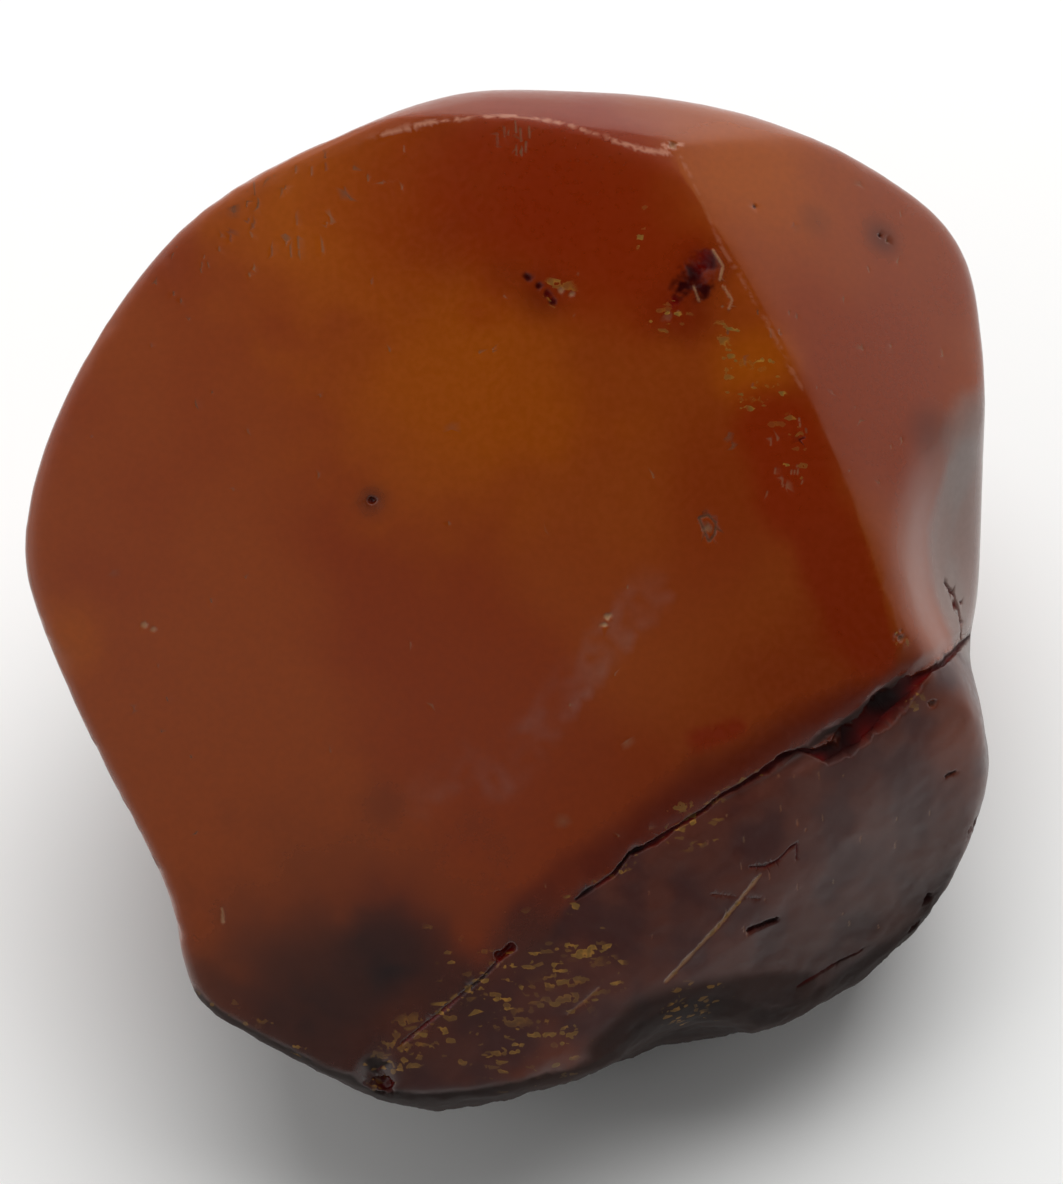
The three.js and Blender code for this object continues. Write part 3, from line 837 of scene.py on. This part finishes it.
def crumbs(tree, place, scale, density, ragged):
    """Ragged grains in as many of the cells, 1/scale m wide, as the density says, some faint."""
    cells = add_node(tree, "ShaderNodeTexVoronoi", Vector=place, Scale=scale)
    chance = add_node(tree, "ShaderNodeSeparateColor", Color=cells.outputs["Color"])
    chosen = rise(tree, arithmetic(tree, "SUBTRACT", density, chance.outputs["Red"]), 0.0, 0.15)
    size = arithmetic(tree, "MULTIPLY", ragged, rise(tree, chance.outputs["Green"], 0, 1, 0.2, 0.6))
    inside = arithmetic(tree, "SUBTRACT", size, cells.outputs["Distance"])
    solid = arithmetic(tree, "MULTIPLY", chosen, rise(tree, inside, 0.0, 0.12))
    return arithmetic(tree, "MULTIPLY", solid, rise(tree, chance.outputs["Blue"], 0, 1, 0.3, 1.0))


def amber_material():
    material = bpy.data.materials.new("amber")
    material.use_nodes = True
    tree = material.node_tree
    surface = tree.nodes["Principled BSDF"]
    place = add_node(tree, "ShaderNodeTexCoord").outputs["Object"]
    along = {"Rotation": SCRATCH_TURN, "Scale": SCRATCH_STRETCH}
    drawn_out = add_node(tree, "ShaderNodeMapping", Vector=place, **along).outputs["Vector"]
    grain = noise_value(tree, place, GRAIN_SCALE)

    # The body's tint, with a little grain, and crumbs of dirt over it.
    tint = add_node(tree, "ShaderNodeAttribute", {"attribute_name": "tint"}).outputs["Color"]
    shade = rise(tree, grain, 0.2, 0.8, *BODY_SHADE)
    body = add_node(tree, "ShaderNodeVectorMath", {"operation": "SCALE"}, Scale=shade)
    tree.links.new(tint, body.inputs[0])
    dirt = mask_value(tree, "dirt")
    ragged = rise(tree, grain, 0.3, 0.7, 0.4, 1.6)
    coarse = crumbs(tree, drawn_out, COARSE_CRUMBS, arithmetic(tree, "MULTIPLY", dirt, 0.6), ragged)
    fine = crumbs(tree, drawn_out, FINE_CRUMBS, dirt, ragged)
    grit = arithmetic(tree, "MAXIMUM", coarse, fine)
    crumb = blend(tree, rise(tree, grain, 0.35, 0.65), OCHRE, KHAKI)
    tree.links.new(blend(tree, grit, body.outputs["Vector"], crumb), surface.inputs["Base Color"])

    rough = rise(tree, grain, 0.3, 0.7, *POLISH)
    rough = arithmetic(tree, "ADD", rough, mask_value(tree, "dull"))
    rough = arithmetic(tree, "ADD", rough, arithmetic(tree, "MULTIPLY", grit, GRIT_DULL))
    tree.links.new(rough, surface.inputs["Roughness"])

    ripples = noise_value(tree, drawn_out, RIPPLE_SCALE)
    relief = {"Strength": RELIEF_STRENGTH, "Distance": RELIEF_HEIGHT}
    bump = add_node(tree, "ShaderNodeBump", Height=ripples, **relief)
    tree.links.new(bump.outputs["Normal"], surface.inputs["Normal"])

    surface.inputs["IOR"].default_value = AMBER_IOR
    surface.inputs["Transmission Weight"].default_value = AMBER_TRANSMISSION
    absorb = add_node(tree, "ShaderNodeVolumeAbsorption", Color=AMBER_ABSORPTION, Density=AMBER_DENSITY)
    tree.links.new(absorb.outputs["Volume"], tree.nodes["Material Output"].inputs["Volume"])
    return material


nugget.data.materials.append(amber_material())
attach(nugget, "root")
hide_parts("nugget")


FLOOR_WHITE = (0.9, 0.9, 0.89, 1)
FLOOR_HALF = 1.5
FLOOR_DROP = 0.05 * MM


def floor_material():
    material = bpy.data.materials.new("pale_floor")
    material.use_nodes = True
    surface = material.node_tree.nodes["Principled BSDF"]
    surface.inputs["Base Color"].default_value = FLOOR_WHITE
    surface.inputs["Roughness"].default_value = 1.0
    surface.inputs["Specular IOR Level"].default_value = 0.0
    return material


def make_floor():
    """A square floor, just under the nugget's resting flat."""
    square = [(-1, -1), (1, -1), (1, 1), (-1, 1)]
    corners = [(x * FLOOR_HALF, y * FLOOR_HALF, -FLOOR_DROP) for x, y in square]
    mesh = bpy.data.meshes.new("floor")
    mesh.from_pydata(corners, [], [(0, 1, 2, 3)])
    mesh.materials.append(floor_material())
    floor = bpy.data.objects.new("floor", mesh)
    bpy.context.scene.collection.objects.link(floor)
    return floor


make_floor()

# A large soft light behind and above, which shows in no reflection.
LAMP_PLACE = Vector((0.05, 0.48, 0.82))
LAMP_SIZE = 0.9
LAMP_POWER = 10


def soft_light():
    light = bpy.data.lights.new("overhead", "AREA")
    light.size = LAMP_SIZE
    light.energy = LAMP_POWER
    lamp = bpy.data.objects.new("overhead", light)
    lamp.location = LAMP_PLACE
    lamp.rotation_mode = "QUATERNION"
    lamp.rotation_quaternion = (LAMP_PLACE - FACE_POINT).to_track_quat("Z", "Y")
    lamp.visible_glossy = False
    lamp.visible_transmission = False
    bpy.context.scene.collection.objects.link(lamp)


soft_light()

# The room is a white tent that is dark above, in front, where the viewer stands, and in a patch to
# the right: each dark middle, and how much less dark it is. Then the brightness of the tent, by the
# cosine of the angle from the nearest dark middle.
DARK_MIDDLES = [
    (OUT + RIGHT * 0.21 + UP * 0.4, 0.0),
    (OUT - RIGHT * 0.05 - UP * 0.58, 0.09),
    (OUT + RIGHT * 0.53 - UP * 0.14, 0.03),
]
TENT = [
    (0.26, 1.0),
    (0.42, 0.8),
    (0.57, 0.6),
    (0.71, 0.36),
    (0.8, 0.28),
    (0.89, 0.18),
    (0.93, 0.06),
    (0.96, 0.0),
]


def room():
    world = bpy.data.worlds.new("room")
    bpy.context.scene.world = world
    world.use_nodes = True
    tree = world.node_tree
    direction = add_node(tree, "ShaderNodeTexCoord").outputs["Generated"]
    nearest = -1.0
    for middle, less in DARK_MIDDLES:
        towards = add_node(tree, "ShaderNodeVectorMath", {"operation": "DOT_PRODUCT"})
        tree.links.new(direction, towards.inputs[0])
        towards.inputs[1].default_value = middle.normalized()
        closeness = arithmetic(tree, "SUBTRACT", towards.outputs["Value"], less)
        nearest = arithmetic(tree, "MAXIMUM", nearest, closeness)
    ramp = add_node(tree, "ShaderNodeValToRGB", Fac=nearest)
    elements = ramp.color_ramp.elements
    while len(elements) < len(TENT):
        elements.new(0.5)
    for element, (position, brightness) in zip(elements, TENT):
        element.position = position
        element.color = (brightness, brightness, brightness, 1)
    tree.links.new(ramp.outputs["Color"], tree.nodes["Background"].inputs["Color"])
    # The tent is so smooth that light rays find it without a map of its bright parts.
    world.cycles.sampling_method = "NONE"


room()


def make_camera():
    """The camera, square to the broad face, with the photograph's frame."""
    camera = bpy.data.cameras.new("camera")
    camera.sensor_width = SENSOR_LONG_SIDE
    camera.lens = SENSOR_LONG_SIDE * CAMERA_DISTANCE / (PHOTO_HIGH * PIXEL)
    camera.clip_start = 0.01
    viewer = bpy.data.objects.new("camera", camera)
    viewer.location = CAMERA_POINT
    viewer.rotation_mode = "QUATERNION"
    viewer.rotation_quaternion = OUT.to_track_quat("Z", "Y")
    bpy.context.scene.collection.objects.link(viewer)
    bpy.context.scene.camera = viewer


make_camera()
bpy.context.scene.view_settings.view_transform = "Standard"
